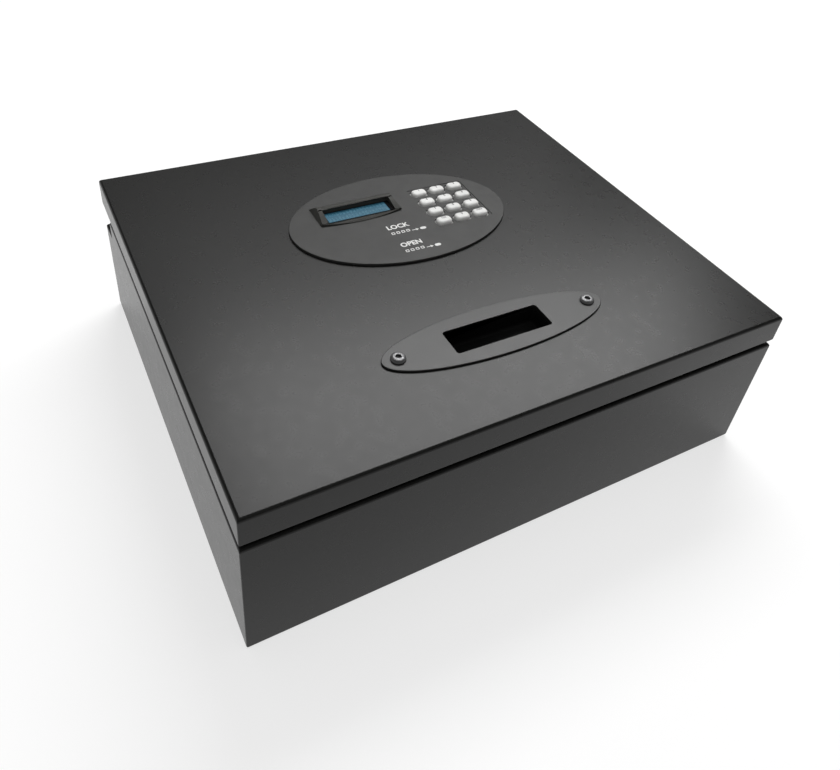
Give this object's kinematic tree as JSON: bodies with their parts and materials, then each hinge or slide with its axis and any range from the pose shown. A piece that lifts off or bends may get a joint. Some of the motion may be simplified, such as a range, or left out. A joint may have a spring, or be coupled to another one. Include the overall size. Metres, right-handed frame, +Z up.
{
  "type": "top-opening electronic safe",
  "caption": "Low steel safe box with a full-size hinged lid, oval keypad console with hooded display, oval finger-pull plate and motor-driven bolts under the front rim.",
  "frame": {"origin": "centre of the underside of the body", "axes": "+X to the right seen from the front, +Y from the front to the hinge side, +Z up through the lid"},
  "size_m": [0.41, 0.35, 0.1378],
  "materials": {
    "painted_steel": "satin powder coat",
    "moulded_grey": "fine moulded grain",
    "moulded_black": "matt",
    "coated_plate": "satin",
    "zinc_steel": "zinc plated",
    "black_steel": "black oxide",
    "key_white": "satin",
    "silicone_grey": "matt",
    "rubber_black": "matt",
    "felt_dark": "needle felt",
    "circuit_green": "solder mask",
    "screen_blue": "polished",
    "nylon_cream": "moulded",
    "cell_jacket": "printed sleeve"
  },
  "bodies": {
    "safe_body": {"body_shell": "painted_steel", "floor_mat": "felt_dark", "lid_bumper_left": "rubber_black", "lid_bumper_right": "rubber_black", "hinge_clevis_left": "painted_steel", "hinge_clevis_right": "painted_steel"},
    "lid": {"lid_shell": "painted_steel", "hinge_arm_left": "painted_steel", "hinge_arm_right": "painted_steel", "hinge_pin_left": "zinc_steel", "hinge_pin_right": "zinc_steel", "console_plate": "moulded_grey", "display_hood": "moulded_grey", "display_module": "moulded_black", "display_screen": "screen_blue", "key_mat": "silicone_grey", "keypad_board": "circuit_green", "handle_plate": "coated_plate", "pull_cup": "moulded_black", "handle_screw_left": "black_steel", "handle_screw_right": "black_steel", "handle_nut_left": "zinc_steel", "handle_nut_right": "zinc_steel", "lock_housing": "moulded_black", "board_housing": "moulded_black", "housing_nut_1": "zinc_steel", "housing_nut_2": "zinc_steel", "housing_nut_3": "zinc_steel", "housing_nut_4": "zinc_steel", "motor_bracket": "zinc_steel", "gear_motor": "zinc_steel", "main_board": "circuit_green", "guide_screw_1": "black_steel", "guide_screw_2": "black_steel", "battery_1": "cell_jacket", "battery_2": "cell_jacket", "battery_3": "cell_jacket", "battery_4": "cell_jacket", "battery_contact_front": "zinc_steel", "battery_contact_rear": "zinc_steel"},
    "bolt_work": {"bolt_bar": "zinc_steel", "locking_bolt_left": "zinc_steel", "locking_bolt_right": "zinc_steel"},
    "pinion": {"drive_pinion": "nylon_cream"},
    "battery_cover": {"battery_door": "moulded_black"},
    "key_1": {"key_1": "key_white"},
    "key_2": {"key_2": "key_white"},
    "key_3": {"key_3": "key_white"},
    "key_4": {"key_4": "key_white"},
    "key_5": {"key_5": "key_white"},
    "key_6": {"key_6": "key_white"},
    "key_7": {"key_7": "key_white"},
    "key_8": {"key_8": "key_white"},
    "key_9": {"key_9": "key_white"},
    "key_clear": {"key_clear": "key_white"},
    "key_0": {"key_0": "key_white"},
    "key_lock": {"key_lock": "key_white"}
  },
  "joints": [
    {"name": "lid_hinge", "type": "hinge", "parent": "safe_body", "child": "lid", "pos_m": [0, 0.158, 0.1125], "axis": [-1, 0, 0], "range_deg": [0, 95]},
    {"name": "bolt_slide", "type": "slide", "parent": "lid", "child": "bolt_work", "axis": [0, -1, 0], "range_m": [0, 0.014]},
    {"name": "pinion_spin", "type": "hinge", "parent": "lid", "child": "pinion", "pos_m": [0.0125, -0.059, 0.0945], "axis": [0, 0, 1], "range_deg": [0, 107]},
    {"name": "battery_door_slide", "type": "slide", "parent": "lid", "child": "battery_cover", "axis": [0, 1, 0], "range_m": [0, 0.06]},
    {"name": "key_1_press", "type": "slide", "parent": "lid", "child": "key_1", "axis": [0, 0, -1], "range_m": [0, 0.0012], "stiffness_N_per_m": 1200},
    {"name": "key_2_press", "type": "slide", "parent": "lid", "child": "key_2", "axis": [0, 0, -1], "range_m": [0, 0.0012], "stiffness_N_per_m": 1200},
    {"name": "key_3_press", "type": "slide", "parent": "lid", "child": "key_3", "axis": [0, 0, -1], "range_m": [0, 0.0012], "stiffness_N_per_m": 1200},
    {"name": "key_4_press", "type": "slide", "parent": "lid", "child": "key_4", "axis": [0, 0, -1], "range_m": [0, 0.0012], "stiffness_N_per_m": 1200},
    {"name": "key_5_press", "type": "slide", "parent": "lid", "child": "key_5", "axis": [0, 0, -1], "range_m": [0, 0.0012], "stiffness_N_per_m": 1200},
    {"name": "key_6_press", "type": "slide", "parent": "lid", "child": "key_6", "axis": [0, 0, -1], "range_m": [0, 0.0012], "stiffness_N_per_m": 1200},
    {"name": "key_7_press", "type": "slide", "parent": "lid", "child": "key_7", "axis": [0, 0, -1], "range_m": [0, 0.0012], "stiffness_N_per_m": 1200},
    {"name": "key_8_press", "type": "slide", "parent": "lid", "child": "key_8", "axis": [0, 0, -1], "range_m": [0, 0.0012], "stiffness_N_per_m": 1200},
    {"name": "key_9_press", "type": "slide", "parent": "lid", "child": "key_9", "axis": [0, 0, -1], "range_m": [0, 0.0012], "stiffness_N_per_m": 1200},
    {"name": "key_clear_press", "type": "slide", "parent": "lid", "child": "key_clear", "axis": [0, 0, -1], "range_m": [0, 0.0012], "stiffness_N_per_m": 1200},
    {"name": "key_0_press", "type": "slide", "parent": "lid", "child": "key_0", "axis": [0, 0, -1], "range_m": [0, 0.0012], "stiffness_N_per_m": 1200},
    {"name": "key_lock_press", "type": "slide", "parent": "lid", "child": "key_lock", "axis": [0, 0, -1], "range_m": [0, 0.0012], "stiffness_N_per_m": 1200}
  ],
  "couplings": [
    {"joint": "pinion_spin", "follows": "bolt_slide", "rad_per_m": 133.33}
  ]
}
